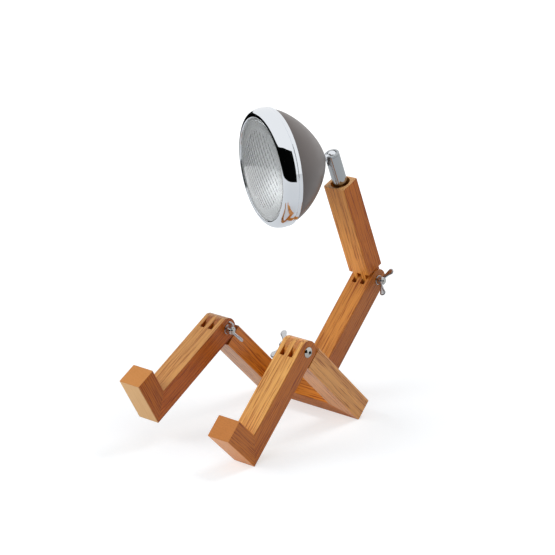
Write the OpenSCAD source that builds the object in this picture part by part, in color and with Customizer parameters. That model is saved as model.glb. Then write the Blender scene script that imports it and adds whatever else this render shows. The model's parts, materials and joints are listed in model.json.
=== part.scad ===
// Desk lamp shaped like a seated jointed figure, in millimetres, +Z up.
// Wooden bars are pinned by finger-knuckle hinges with bolts and wing nuts; a chrome neck
// tube carries the ball stem of a round lamp head. The figure faces -Y, its left side is +X.

/* [Which node] */

/* [Wooden bars] */
// width of every bar along the hinge axes
bar_w = 30; // [24:1:36]
// depth of every bar, front to back
bar_d = 26; // [22:1:32]
// chamfer of the bar edges
edge_c = 0.6; // [0.3:0.1:1.2]
// dowel radius of the frame and foot corners
dowel_r = 3; // [2:0.5:4]
// dowel length of those corners
dowel_len = 22; // [14:1:24]

/* [Seat frame and lower torso] */
// outer width over both thighs
seat_w = 150; // [130:1:180]
// tilt of the thighs above the floor in degrees
seat_angle = 45.1; // [40:0.1:50]
// distance from the rear edge to the knee axes
thigh_len = 137; // [115:1:160]
// distance from the thighs' underside plane to the waist axis
torso_len = 168.4; // [140:1:200]

/* [Finger-knuckle hinges] */
// layers of wood in every hinge, fingers and tongues together
layers = 5; // [5:2:5]
// free side play of every tongue face
side_play = 0.15; // [0.1:0.05:0.3]
// distance from a knee axis to the square shoulder of the thigh
knee_shoulder = 14; // [13.8:0.1:18]
// distance from the waist axis to the square shoulder of the upper torso
waist_shoulder = 15.5; // [13.8:0.1:18]
// depth of the finger slots beyond the hinge axis
slot_depth = 15.5; // [14:0.1:20]

/* [Legs] */
// distance from a knee axis to the sole
shin_len = 138; // [120:1:160]
// length of a foot along its sole
foot_len = 58; // [45:1:70]
// thickness of a foot
foot_t = 26; // [20:1:32]
// slope of the raised right shin below the horizontal, in degrees
right_drop = 29.4; // [25:0.1:44]

/* [Upper torso and neck] */
// slope of the upper torso above the horizontal, in degrees
upper_angle = 67.8; // [60:0.1:85]
// distance from the waist axis to the top of the upper torso
upper_len = 137.7; // [110:1:160]
// height of the ball centre above the wood
ball_h = 36.3; // [33:0.1:42]
// height of the tube rim above the ball centre
rim_over_ball = 4.2; // [3.8:0.1:4.4]
// outside radius of the neck tube
tube_r = 8.6; // [8.4:0.1:9]
// inside radius of the neck tube
tube_in_r = 6.9; // [6.8:0.1:7]
// radius of the tube's mouth
mouth_r = 5.6; // [5.55:0.05:5.7]
// depth of the tube in the wood
tube_sink = 24; // [18:1:30]
// radius of the wide recess around the tube
recess_r = 11.3; // [10:0.1:11.8]
// depth of that recess
recess_depth = 9; // [6:0.5:12]
// turn of the neck towards the figure's right, in degrees
neck_turn = 25.5; // [0:0.5:60]

/* [Lamp head] */
// angle between the neck tube and the lamp axis, in degrees
head_tilt = 73.5; // [60:0.1:90]
// ball radius
ball_r = 6.2; // [6:0.1:6.3]
// stem radius
stem_r = 3; // [2.5:0.1:3.2]
// distance from the ball centre to the back of the bowl
stem_len = 11; // [10.8:0.1:16]
// depth of the bowl, from its back to the bezel
bowl_depth = 57; // [50:0.1:66]
// radius of the bowl at the bezel
bowl_r = 65.6; // [65:0.1:68]
// exponent of the bowl curve
bowl_power = 1.45; // [1.2:0.05:2]
// wall of the bowl
bowl_wall = 1.2; // [1:0.1:1.3]
// radius of the bezel ring at its widest
bezel_r = 68.5; // [68.2:0.1:70]
// depth of the bezel ring
bezel_depth = 21; // [20.5:0.1:22]
// rise of the glass from its edge to its middle
lens_rise = 6; // [1:0.5:8]

/* [Bolts and wing nuts] */
// bolt radius
bolt_r = 3; // [2.5:0.1:3.2]
// radius of the domed bolt heads
bolt_head_r = 6.2; // [5.5:0.1:7]
// height of the domed bolt heads
bolt_head_h = 3.4; // [2.5:0.1:4]
// radius of the washers
washer_r = 5.7; // [5.4:0.1:8]
// thickness of the washers
washer_t = 1.2; // [0.8:0.1:2]
// reach of every wing from the bolt axis
wing_reach = 17.1; // [15.5:0.1:18]
// thickness of the wings
wing_t = 2.4; // [1.8:0.1:3]
// running clearance of every pin in its hole
run_gap = 0.05; // [0.02:0.01:0.09]

/* [Hidden] */
half_w = bar_w / 2;
half_d = bar_d / 2;
side_x = seat_w / 2 - half_w;
layer_t = bar_w / layers;
hole_r = bolt_r + run_gap;
knee_y = -thigh_len * cos(seat_angle) + half_d * sin(seat_angle);
knee_z = thigh_len * sin(seat_angle) + half_d * cos(seat_angle);
waist_y = -half_d * cos(seat_angle) + torso_len * sin(seat_angle);
waist_z = half_d * sin(seat_angle) + torso_len * cos(seat_angle);
// the left heel stands on the floor: slope of the left shin below the horizontal
heel_reach = sqrt(shin_len * shin_len + half_d * half_d);
left_drop = asin(knee_z / heel_reach) - atan(half_d / shin_len);

// dowels: distances of each pair from the middle of its joint, and the size of the torso's pair
corner_spread = 6.5;
peg_spread = 7;
torso_dowel_r = 4;
torso_dowel_len = 30;

// bolts: cylindrical rim of the head, hexagon socket, thread past the wing nut
bolt_rim = 0.8;
key_r = 2.3;
key_depth = 2.2;
bolt_past = 1.2;
bolt_dome = bolt_head_h - bolt_rim;
bolt_dome_r = (bolt_head_r * bolt_head_r + bolt_dome * bolt_dome) / (2 * bolt_dome);
key_flat = key_r * cos(30);
bolt_top = bolt_head_h - bolt_dome_r + sqrt(bolt_dome_r * bolt_dome_r - key_flat * key_flat);

// wing nuts: conical hub, wings that leave it low and end in round lobes
hub_h = 7.3;
hub_r = 5.1;
hub_top_r = 4.6;
wing_low = 3;
belly_in = 1.6;
belly_z = 8.3;
lobe_r = 3.9;
lobe_z = 11.5;
// turn of each wing nut in degrees, as it was left by hand
left_nut_turn = -5;
right_nut_turn = -86;
waist_nut_turn = -56;

// neck: screw, floor of the tube, slot for the stem, rim, groove and flute, cup under the ball
screw_r = 2.5;
screw_len = 22;
screw_head_r = 4.4;
screw_head_h = 2.6;
screw_key_r = 1.6;
tube_floor = 3;
notch_w = 6.8;
notch_low = 9;
lip = 1.2;
bevel = 0.9;
groove_below = 2.6;
groove_w = 0.8;
groove_deep = 0.4;
groove_slope = 0.2;
flute_turn = 21;
flute_w = 2.4;
flute_deep = 0.5;
flute_below = 6;
cup_low = 12;
cup_top = 3;
ball_gap = 0.2;

// ball stem: shoulder against the bowl, and the end past the bowl's back that takes the nut
flange_r = 5.2;
flange_t = 1;
stem_past = 8.5;
stem_nut_r = 5.7;
stem_nut_t = 4;

// bowl: collar that carries the bezel ring, and the boss for the stem
collar_r = 64.5;
collar_in_r = 63;
collar_top = 12.5;
boss_r = 7.5;
boss_t = 2.7;
steps = 28;

// cord inlet: flat pad on the bowl's back, and the grommet in it
pad_r = 26;
pad_turn = 205;
pad_size = 6.6;
pad_t = 3.6;
inlet_r = 2.6;
gland_r = 4;
gland_lip_r = 5.6;
gland_lip_t = 1.5;
gland_taper = 0.7;
pad_rest = pow(1 - pow(pad_r / bowl_r, bowl_power), 1 / bowl_power);
pad_z = bowl_depth * (1 - pad_rest);
pad_slope = atan(bowl_depth / bowl_r * pow(pad_r / bowl_r / pad_rest, bowl_power - 1));

// bezel ring: mouth over the glass, thickness of its lip, and its outline as shares of radius and depth
view_r = 58.8;
bezel_lip = 1.4;
bezel_wall = 1.4;
bezel_out_shares = [[0.864, 0.99], [0.876, 1], [0.905, 0.985], [0.934, 0.935], [0.961, 0.85], [0.981, 0.727],
    [0.994, 0.56], [1, 0.405], [1, 0.33], [0.996, 0.27], [0.987, 0.245], [0.987, 0.226], [0.993, 0.207],
    [0.993, 0.05], [0.984, 0.014], [0.97, 0]];
bezel_in_shares = [[0.963, 0.085], [0.974, 0.15], [0.98, 0.4], [0.973, 0.56], [0.96, 0.72], [0.942, 0.833]];
bezel_z = stem_len + bowl_depth;
bezel_out = [for (share = bezel_out_shares) [share[0] * bezel_r, share[1] * bezel_depth]];

// glass: its seat, edge and step, and the gasket behind it
lens_r = 61.5;
lens_rim_t = 3.6;
lens_seat = bezel_depth - bezel_lip - lens_rim_t;
lens_in_t = 0.8;
lens_flat_w = 4;
lens_rings = 10;
lip_gap = 0.2;
gasket_r = 62.5;
gasket_in_r = 59.6;

// mirror: rim on the collar, opening for the light source
mirror_r = 60;
mirror_hole = 17;
mirror_focal = 22;
mirror_wall = 0.8;
mirror_rim_r = 64.2;

// heat sink with its cooling grooves, and the light source on it
sink_foot_r = 7;
sink_r = 15;
sink_cone = 9;
sink_len = 24;
sink_bore = 3;
bore_gap = 0.4;
fin_from = 11;
fin_pitch = 3;
fin_gap = 1.4;
fin_in_r = 10;
fins = 4;
board_r = 14;
board_t = 1.6;
led_r = 6;

// origin of the part: centre of its footprint, on the floor
head_x = -sin(head_tilt) * sin(neck_turn);
head_flat = sqrt(1 - head_x * head_x);
min_x = -max([for (p = bezel_out) p[0] * head_flat - (bezel_z + p[1]) * head_x]);
max_x = seat_w / 2 + bolt_top;
min_y = knee_y - shin_len * cos(right_drop) - (foot_len - half_d) * sin(right_drop);
max_y = waist_y + half_d;
origin_x = (min_x + max_x) / 2;
origin_y = (min_y + max_y) / 2;
origin_z = edge_c * sin(seat_angle);

oak = [0.80, 0.56, 0.33];
oak_dark = [0.62, 0.38, 0.20];
steel = [0.80, 0.80, 0.82];
paint = [0.42, 0.40, 0.38];
clear = [0.85, 0.88, 0.88, 0.5];
black = [0.10, 0.10, 0.10];
phosphor = [0.95, 0.90, 0.60];
$fn = 64;

// places: each carries its children from a local frame into the part's frame

module at_origin() translate([-origin_x, -origin_y, -origin_z]) children();

// seat frame: -Y along the thighs to the knees, +Z square to them
module at_seat() at_origin() rotate([-seat_angle, 0, 0]) children();

// knee of one side, -Z down the shin and -Y to the toes
module at_knee(side) at_origin() translate([side * side_x, knee_y, knee_z])
    rotate([(side > 0 ? left_drop : right_drop) - 90, 0, 0]) children();

// waist, +Z up the upper torso and -Y to its front
module at_waist() at_origin() translate([0, waist_y, waist_z]) rotate([90 - upper_angle, 0, 0]) children();

// neck tube, +Z up from the top of the upper torso, -Y to the lamp head
module at_neck() at_waist() translate([0, 0, upper_len]) rotate([0, 0, -neck_turn]) children();

// lamp head, +Z from the ball centre to the lens
module at_head() at_neck() translate([0, 0, ball_h]) rotate([head_tilt, 0, 0]) children();

// shared shapes

// lies along X from -length / 2 to length / 2
module rod(r, length) rotate([0, 90, 0]) cylinder(r = r, h = length, center = true);

// profile in local Y and Z, given as [y, z] points, as wide as the bars
module across(width) rotate([90, 0, 90]) translate([0, 0, -width / 2]) linear_extrude(width) children();

// chamfered section of a bar along Z
module bar_section(from, to) {
    x = half_w;
    y = half_d;
    c = edge_c;
    translate([0, 0, from]) linear_extrude(to - from)
        polygon([[c - x, -y], [x - c, -y], [x, c - y], [x, y - c], [x - c, y], [c - x, y], [-x, y - c], [-x, c - y]]);
}

// bar along +Z whose end is rounded about the hinge axis at the origin, with slots for two tongues
module fingered_bar(length) {
    big = 2 * bar_w;
    difference() {
        intersection() {
            bar_section(-half_d, length);
            across(bar_w) union() {
                circle(r = half_d);
                translate([-half_d, 0]) square([bar_d, length]);
            }
        }
        for (k = [1 : 2 : layers - 2])
            translate([-half_w + k * layer_t, -half_d - edge_c, -big])
                cube([layer_t, bar_d + 2 * edge_c, big + slot_depth]);
        rod(hole_r, big);
    }
}

// bar along +Z with a square shoulder and two rounded tongues about the hinge axis
module tongued_bar(shoulder, length) {
    difference() {
        union() {
            bar_section(shoulder, length);
            for (k = [1 : 2 : layers - 2])
                translate([-half_w + (k + 0.5) * layer_t, 0, 0])
                    across(layer_t - 2 * side_play) union() {
                        circle(r = half_d);
                        translate([-half_d, 0]) square([bar_d, shoulder + edge_c]);
                    }
        }
        rod(hole_r, 2 * bar_w);
    }
}

// domed bolt: underside of the head at z = 0, shank down to -length
module bolt(length) difference() {
    union() {
        translate([0, 0, -length]) cylinder(r = bolt_r, h = length + bolt_rim / 2);
        cylinder(r = bolt_head_r, h = bolt_rim);
        intersection() {
            translate([0, 0, bolt_head_h - bolt_dome_r]) sphere(r = bolt_dome_r);
            translate([0, 0, bolt_rim / 2]) cylinder(r = bolt_head_r, h = bolt_head_h);
        }
    }
    translate([0, 0, bolt_head_h - key_depth]) cylinder(r = key_r, h = bolt_head_h, $fn = 6);
}

module washer() difference() {
    cylinder(r = washer_r, h = washer_t);
    translate([0, 0, -washer_t]) cylinder(r = hole_r, h = 3 * washer_t);
}

// one wing and its share of the hub, seen from the side
module wing_outline() {
    polygon([[hole_r + run_gap, wing_low], [hub_r, wing_low], [wing_reach - belly_in, belly_z],
        [wing_reach - lobe_r, lobe_z], [wing_reach - 2 * lobe_r, lobe_z], [hub_top_r, hub_h], [hole_r + run_gap, hub_h]]);
    translate([wing_reach - lobe_r, lobe_z]) circle(r = lobe_r);
}

// wing nut standing on z = 0, wings along X
module wing_nut() difference() {
    union() {
        cylinder(r1 = hub_r, r2 = hub_top_r, h = hub_h);
        for (side = [0, 180]) rotate([0, 0, side])
            rotate([90, 0, 0]) translate([0, 0, -wing_t / 2]) linear_extrude(wing_t) wing_outline();
    }
    translate([0, 0, -hub_h]) cylinder(r = hole_r, h = 4 * hub_h);
}

// wooden dowel along Z with its middle at the origin
module dowel(r, length) cylinder(r = r, h = length, center = true);

// seat frame

// corner cut between crossbar and thigh, as a block on the thigh's side of the mitre
module thigh_side(side) {
    reach = 2 * thigh_len;
    outer = seat_w / 2;
    linear_extrude(6 * bar_d, center = true) mirror([side > 0 ? 0 : 1, 0])
        polygon([[outer + bar_w, bar_d], [outer, 0], [outer - bar_w, -bar_d], [outer - bar_w, -reach],
            [outer + bar_w, -reach]]);
}

// both dowels of one mitred seat corner, square to the cut
module seat_corner_dowels(side, gap) for (k = [-1, 1])
    translate([side * side_x, -half_d, half_d + k * corner_spread])
        rotate([0, 0, -side * atan(bar_w / bar_d)]) rotate([0, 90, 0]) dowel(dowel_r, dowel_len + gap);

// both dowels between crossbar and lower torso
module torso_pegs(gap) for (k = [-1, 1])
    translate([k * peg_spread, -half_d, bar_d]) dowel(torso_dowel_r, torso_dowel_len + gap);

module seat_crossbar() color(oak) at_seat() difference() {
    translate([-seat_w / 2, 0, 0]) rotate([90, 0, 90]) linear_extrude(seat_w)
        polygon([[-bar_d + edge_c, 0], [-edge_c, 0], [0, edge_c], [0, bar_d - edge_c], [-edge_c, bar_d],
            [-bar_d + edge_c, bar_d], [-bar_d, bar_d - edge_c], [-bar_d, edge_c]]);
    for (side = [-1, 1]) {
        thigh_side(side);
        seat_corner_dowels(side, edge_c);
    }
    torso_pegs(edge_c);
}

module thigh(side) difference() {
    intersection() {
        translate([side * side_x, -thigh_len, half_d]) rotate([-90, 0, 0]) tongued_bar(knee_shoulder, thigh_len);
        thigh_side(side);
    }
    seat_corner_dowels(side, edge_c);
}
module left_thigh() color(oak) at_seat() thigh(1);
module right_thigh() color(oak) at_seat() thigh(-1);

module seat_dowels() color(oak_dark) at_seat() for (side = [-1, 1]) seat_corner_dowels(side, 0);

module lower_torso() color(oak) at_seat() difference() {
    translate([0, -half_d, torso_len]) rotate([0, 180, 0]) fingered_bar(torso_len - bar_d);
    torso_pegs(edge_c);
}
module torso_dowels() color(oak_dark) at_seat() torso_pegs(0);

// legs

// outline of shin and foot together, toes to -Y, with the sole at -shin_len
module leg_mitre() {
    far = 2 * foot_len;
    polygon([[half_d, -shin_len], [-half_d, foot_t - shin_len], [-half_d - far, foot_t + far - shin_len],
        [-half_d - far, -shin_len - far], [half_d + far, -shin_len - far]]);
}

// both dowels of a mitred heel, square to the cut
module foot_pegs(gap) for (k = [-1, 1]) translate([k * peg_spread, 0, foot_t / 2 - shin_len])
    rotate([atan(bar_d / foot_t), 0, 0]) dowel(dowel_r, dowel_len + gap);

module shin() difference() {
    rotate([0, 180, 0]) fingered_bar(shin_len);
    across(2 * bar_w) leg_mitre();
    foot_pegs(edge_c);
    heel_chamfer();
}

module heel_chamfer() across(2 * bar_w) translate([half_d, -shin_len]) rotate(45)
    square(sqrt(2) * edge_c, center = true);

module foot() difference() {
    intersection() {
        translate([0, half_d, foot_t / 2 - shin_len]) rotate([90, 0, 0]) foot_bar();
        across(2 * bar_w) leg_mitre();
    }
    foot_pegs(edge_c);
    heel_chamfer();
}

// foot bar along Z, as thick as foot_t, chamfered on its long edges
module foot_bar() linear_extrude(foot_len) {
    x = half_w;
    y = foot_t / 2;
    c = edge_c;
    polygon([[c - x, -y], [x - c, -y], [x, c - y], [x, y - c], [x - c, y], [c - x, y], [-x, y - c], [-x, c - y]]);
}

// knee bolt with its head outside the knee of one side, and what it holds on the inner side
module knee_bolt(side) translate([side * half_w, 0, 0]) rotate([0, side * 90, 0])
    bolt(bar_w + washer_t + hub_h + bolt_past);
module knee_washer(side) translate([-side * half_w, 0, 0]) rotate([0, -side * 90, 0]) washer();
module knee_nut(side, turn) translate([-side * (half_w + washer_t), 0, 0])
    rotate([0, -side * 90, 0]) rotate([0, 0, turn]) wing_nut();

module left_shin() color(oak) at_knee(1) shin();
module left_foot() color(oak) at_knee(1) foot();
module left_foot_dowels() color(oak_dark) at_knee(1) foot_pegs(0);
module left_knee_bolt() color(steel) at_knee(1) knee_bolt(1);
module left_knee_washer() color(steel) at_knee(1) knee_washer(1);
module left_knee_wing_nut() color(steel) at_knee(1) knee_nut(1, left_nut_turn);

module right_shin() color(oak) at_knee(-1) shin();
module right_foot() color(oak) at_knee(-1) foot();
module right_foot_dowels() color(oak_dark) at_knee(-1) foot_pegs(0);
module right_knee_bolt() color(steel) at_knee(-1) knee_bolt(-1);
module right_knee_washer() color(steel) at_knee(-1) knee_washer(-1);
module right_knee_wing_nut() color(steel) at_knee(-1) knee_nut(-1, right_nut_turn);

// waist and upper torso

module waist_bolt() color(steel) at_waist() knee_bolt(-1);
module waist_washer() color(steel) at_waist() knee_washer(-1);
module waist_wing_nut() color(steel) at_waist() knee_nut(-1, waist_nut_turn);

module upper_torso() color(oak) at_waist() difference() {
    tongued_bar(waist_shoulder, upper_len);
    translate([0, 0, upper_len - recess_depth]) cylinder(r = recess_r, h = 2 * recess_depth);
    translate([0, 0, upper_len - tube_sink]) cylinder(r = tube_r + run_gap, h = 2 * tube_sink);
    translate([0, 0, upper_len - tube_sink - screw_len]) cylinder(r = screw_r, h = 2 * screw_len);
}

// wood screw on which the neck tube turns, its head inside the tube
module neck_screw() color(steel) at_neck() translate([0, 0, tube_floor - tube_sink + 2 * run_gap]) difference() {
    union() {
        cylinder(r = screw_head_r, h = screw_head_h);
        translate([0, 0, -screw_len]) cylinder(r = screw_r, h = screw_len + run_gap);
    }
    translate([0, 0, screw_head_h / 2]) cylinder(r = screw_key_r, h = screw_head_h, $fn = 6);
}

// neck

// slot for the stem, open at the tube's rim and rounded below
module stem_notch() {
    r = notch_w / 2;
    reach = 3 * tube_r;
    translate([0, 0, ball_h - notch_low + r]) rotate([90, 0, 0]) cylinder(r = r, h = reach);
    translate([-r, -reach, ball_h - notch_low + r]) cube([notch_w, reach, reach]);
}

// tube with a rolled rim, a fine groove under it, the slot and a flute down its front
module neck_tube() color(steel) at_neck() difference() {
    top = ball_h + rim_over_ball;
    groove_z = top - groove_below;
    rotate_extrude() polygon([[screw_r + run_gap, -tube_sink], [tube_r, -tube_sink], [tube_r, groove_z],
        [tube_r - groove_deep, groove_z + groove_slope], [tube_r - groove_deep, groove_z + groove_w - groove_slope],
        [tube_r, groove_z + groove_w], [tube_r, top - bevel], [tube_r - bevel, top], [mouth_r, top],
        [mouth_r, top - lip], [tube_in_r, top - 2 * lip], [tube_in_r, tube_floor - tube_sink],
        [screw_r + run_gap, tube_floor - tube_sink]]);
    stem_notch();
    rotate([0, 0, neck_turn + flute_turn]) translate([-flute_w / 2, flute_deep - 2 * tube_r, recess_depth - tube_sink])
        cube([flute_w, tube_r, tube_sink - recess_depth + top - flute_below]);
}

// plastic cup that the ball turns in
module ball_seat() color(black) at_neck() difference() {
    translate([0, 0, ball_h - cup_low]) cylinder(r = tube_in_r, h = cup_low - cup_top);
    translate([0, 0, ball_h]) sphere(r = ball_r + ball_gap);
    stem_notch();
}

// lamp head, all about the lamp axis

// radius of the bowl's curve at a distance past its back, for a bowl of the given size
function curve(t, depth, r) = r * pow(1 - pow(1 - t / depth, bowl_power), 1 / bowl_power);
// curve points from the back of the bowl to its rim, no further out than widest
function bowl_points(z0, depth, r, widest) = [for (k = [0 : steps])
    let (t = depth * (1 - cos(90 * k / steps))) [min(widest, curve(t, depth, r)), z0 + t]];

// place of the cord inlet: on the bowl's back, its +Z square to the surface and outwards
module at_inlet() rotate([0, 0, pad_turn]) translate([pad_r, 0, stem_len + pad_z])
    rotate([0, 180 - pad_slope, 0]) children();

// solid inside the bowl's curve and a collar of the given size
module bowl_solid(z0, wall, collar, top) rotate_extrude($fn = 96)
    polygon(concat(bowl_points(z0, bowl_depth - wall, bowl_r - wall, wall > 0 ? collar : bowl_r),
        [[collar, bezel_z], [collar, top], [0, top]]));

module lamp_bowl() color(paint) at_head() difference() {
    union() {
        difference() {
            bowl_solid(stem_len, 0, collar_r, bezel_z + collar_top);
            bowl_solid(stem_len + bowl_wall, bowl_wall, collar_in_r, bezel_z + 2 * collar_top);
        }
        translate([0, 0, stem_len]) cylinder(r = boss_r, h = boss_t);
        at_inlet() translate([0, 0, -pad_t / 2]) cylinder(r = pad_size, h = pad_t);
    }
    translate([0, 0, -stem_len]) cylinder(r = stem_r, h = 3 * stem_len);
    at_inlet() cylinder(r = gland_r, h = 4 * pad_t, center = true);
}

// rubber ring with a lip on each side of the bowl's wall
module cord_grommet() color(black) at_head() at_inlet() difference() {
    union() {
        cylinder(r = gland_r, h = pad_t, center = true);
        for (side = [0, 1]) mirror([0, 0, side]) translate([0, 0, pad_t / 2])
            cylinder(r1 = gland_lip_r, r2 = gland_lip_r - gland_taper, h = gland_lip_t);
    }
    cylinder(r = inlet_r, h = 3 * pad_t, center = true);
}

module ball_stem() color(steel) at_head() union() {
    sphere(r = ball_r);
    cylinder(r = stem_r, h = stem_len + stem_past);
    translate([0, 0, stem_len - flange_t]) cylinder(r = flange_r, h = flange_t);
}

module stem_nut() color(steel) at_head() translate([0, 0, stem_len + boss_t]) difference() {
    cylinder(r = stem_nut_r, h = stem_nut_t, $fn = 6);
    translate([0, 0, -stem_nut_t]) cylinder(r = stem_r, h = 3 * stem_nut_t);
}

// chrome ring of thin sheet: bulged face, fine groove and rolled rear flange
module bezel_ring() color(steel) at_head() translate([0, 0, bezel_z]) rotate_extrude($fn = 96)
    polygon(concat([[view_r, bezel_depth - bezel_lip / 2]], bezel_out, [[collar_r, 0], [collar_r, bezel_wall]],
        [for (share = bezel_in_shares) [share[0] * bezel_r, share[1] * bezel_depth]],
        [[gasket_r + mirror_wall, bezel_depth - bezel_lip], [view_r, bezel_depth - bezel_lip]]));

// clear front glass, domed, seated behind the bezel's lip
module lens() color(clear) at_head() translate([0, 0, bezel_z + lens_seat]) {
    edge_r = view_r - lip_gap;
    step_r = view_r - lens_flat_w;
    rotate_extrude($fn = 96) polygon(concat([[0, lens_in_t], [step_r, lens_in_t], [step_r, 0], [lens_r, 0],
            [lens_r, lens_rim_t]],
        [for (k = [lens_rings : -1 : 0]) [edge_r * k / lens_rings,
            lens_rim_t + lens_rise * (1 - k * k / lens_rings / lens_rings)]]));
}

module lens_gasket() color(black) at_head() translate([0, 0, bezel_z + collar_top + mirror_wall]) difference() {
    gasket_t = lens_seat - collar_top - mirror_wall;
    cylinder(r = gasket_r, h = gasket_t);
    translate([0, 0, -gasket_t]) cylinder(r = gasket_in_r, h = 3 * gasket_t);
}

// height of the mirror's parabola at a radius, below the bowl's collar edge
function parabola(r) = collar_top - (mirror_r * mirror_r - r * r) / (4 * mirror_focal);

// parabolic mirror shell with a flat rim that lies on the bowl's collar
module reflector() color(steel) at_head() translate([0, 0, bezel_z]) {
    last = 16;
    radii = [for (k = [0 : last]) mirror_hole + (mirror_r - mirror_hole) * k / last];
    rotate_extrude($fn = 96) polygon(concat([for (r = radii) [r, parabola(r) + mirror_wall]],
        [[mirror_rim_r, collar_top + mirror_wall], [mirror_rim_r, collar_top]],
        [for (k = [last : -1 : 0]) [radii[k], parabola(radii[k])]]));
}

// turned block that takes the light source's heat, bored over the stem's end
module heat_sink() color(steel) at_head() translate([0, 0, stem_len + boss_t + stem_nut_t]) difference() {
    rotate_extrude() polygon([[0, 0], [sink_foot_r, 0], [sink_r, sink_cone], [sink_r, sink_len], [0, sink_len]]);
    translate([0, 0, -sink_bore]) cylinder(r = stem_r + bore_gap, h = 2 * sink_bore);
    for (k = [0 : fins - 1]) translate([0, 0, fin_from + k * fin_pitch]) difference() {
        cylinder(r = 2 * sink_r, h = fin_gap);
        translate([0, 0, -fin_gap]) cylinder(r = fin_in_r, h = 3 * fin_gap);
    }
}

// round board with a phosphor dome
module led_module() color(phosphor) at_head() translate([0, 0, stem_len + boss_t + stem_nut_t + sink_len]) union() {
    cylinder(r = board_r, h = board_t);
    intersection() {
        translate([0, 0, board_t]) sphere(r = led_r);
        cylinder(r = 2 * led_r, h = 3 * led_r);
    }
}

seat_crossbar();
left_thigh();
right_thigh();
seat_dowels();
lower_torso();
torso_dowels();
left_shin();
left_foot();
left_foot_dowels();
left_knee_bolt();
left_knee_washer();
left_knee_wing_nut();
right_shin();
right_foot();
right_foot_dowels();
right_knee_bolt();
right_knee_washer();
right_knee_wing_nut();
waist_bolt();
waist_washer();
waist_wing_nut();
upper_torso();
neck_screw();
neck_tube();
ball_seat();
ball_stem();
stem_nut();
lamp_bowl();
bezel_ring();
lens();
lens_gasket();
reflector();
heat_sink();
led_module();
cord_grommet();
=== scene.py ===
import json
import math
import bmesh
import bpy
import numpy as np
from mathutils import Matrix


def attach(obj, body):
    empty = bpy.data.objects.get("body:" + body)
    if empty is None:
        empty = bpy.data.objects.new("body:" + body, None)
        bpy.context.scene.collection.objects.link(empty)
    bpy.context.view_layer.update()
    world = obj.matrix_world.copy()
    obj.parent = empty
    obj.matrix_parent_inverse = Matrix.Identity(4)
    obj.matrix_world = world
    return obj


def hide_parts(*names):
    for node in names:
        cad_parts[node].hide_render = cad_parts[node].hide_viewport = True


# Frame
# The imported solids, in metres, with the figure facing -Y and its left side at +X.
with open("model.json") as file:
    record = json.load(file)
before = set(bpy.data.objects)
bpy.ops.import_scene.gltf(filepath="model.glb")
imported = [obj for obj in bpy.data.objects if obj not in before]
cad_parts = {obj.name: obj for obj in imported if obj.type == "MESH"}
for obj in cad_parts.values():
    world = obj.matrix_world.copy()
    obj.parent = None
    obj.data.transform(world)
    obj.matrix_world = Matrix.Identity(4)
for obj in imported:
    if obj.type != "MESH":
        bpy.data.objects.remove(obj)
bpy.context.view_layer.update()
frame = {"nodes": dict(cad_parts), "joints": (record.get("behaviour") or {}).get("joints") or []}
nodes = frame["nodes"]
MM = 0.001

# Camera
# A long lens from the figure's left front, 18 degrees above it, as the photo was taken.
camera_data = bpy.data.cameras.new("camera")
camera = bpy.data.objects.new("camera", camera_data)
bpy.context.scene.collection.objects.link(camera)
camera_place = (1.38052, -1.53910, 0.82769)
camera_right = (0.749152, 0.662303, -0.011204)
camera_up = (-0.193872, 0.235405, 0.952365)
camera_back = (0.633392, -0.711294, 0.304756)
camera.matrix_world = Matrix(
    [(camera_right[k], camera_up[k], camera_back[k], camera_place[k]) for k in range(3)] + [(0, 0, 0, 1)])
camera_data.sensor_width = 36
camera_data.lens = 125.46
camera_data.clip_end = 20
bpy.context.scene.camera = camera
bpy.context.scene.view_settings.view_transform = "Standard"


def linear(code):
    """Linear RGBA of an sRGB hex colour."""
    parts = np.array([int(code[k:k + 2], 16) / 255 for k in (1, 3, 5)])
    parts = np.where(parts <= 0.04045, parts / 12.92, ((parts + 0.055) / 1.055) ** 2.4)
    return tuple(float(part) for part in parts) + (1.0,)


def add(tree, kind, inputs=None, **settings):
    """Adds one node; an input is either another node's output, which is linked, or a value."""
    made = tree.nodes.new(kind)
    for name, value in settings.items():
        setattr(made, name, value)
    for name, value in (inputs or {}).items():
        if isinstance(value, bpy.types.NodeSocket):
            tree.links.new(value, made.inputs[name])
        else:
            made.inputs[name].default_value = value
    return made


def material(name, **values):
    """A material with one Principled shader; values are its plain socket values, with _ for a space."""
    made = bpy.data.materials.new(name)
    made.use_nodes = True
    tree = made.node_tree
    tree.nodes.clear()
    shader = add(
        tree, "ShaderNodeBsdfPrincipled", {key.replace("_", " "): value for key, value in values.items()})
    add(tree, "ShaderNodeOutputMaterial", {"Surface": shader.outputs[0]})
    return made, tree, shader


# Floor and studio
# A white floor under a soft white sky, with one large soft lamp high on the figure's right
# front and a weak one behind; a band of black felt gives the plating its dark reflections.
def flat_square(name, middle, along, across, size_along, size_across):
    """A rectangle about a middle point, spanned by two unit directions."""
    middle, along, across = (np.array(v, float) for v in (middle, along, across))
    a, b = along * size_along / 2, across * size_across / 2
    mesh = bpy.data.meshes.new(name)
    mesh.from_pydata(
        [tuple(middle + i * a + j * b) for i, j in ((-1, -1), (1, -1), (1, 1), (-1, 1))], [], [(0, 1, 2, 3)])
    made = bpy.data.objects.new(name, mesh)
    bpy.context.scene.collection.objects.link(made)
    return made


floor = flat_square("floor", (0, 0, 0), (1, 0, 0), (0, 1, 0), 12, 12)
floor_paint, tree, shader = material("white_floor_paint", Base_Color=linear("#EEF3F8"), Roughness=0.9)
shader.inputs["Specular IOR Level"].default_value = 0.1
where = add(tree, "ShaderNodeTexCoord")
distance = add(tree, "ShaderNodeVectorMath", {0: where.outputs["Object"]}, operation="LENGTH")
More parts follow.
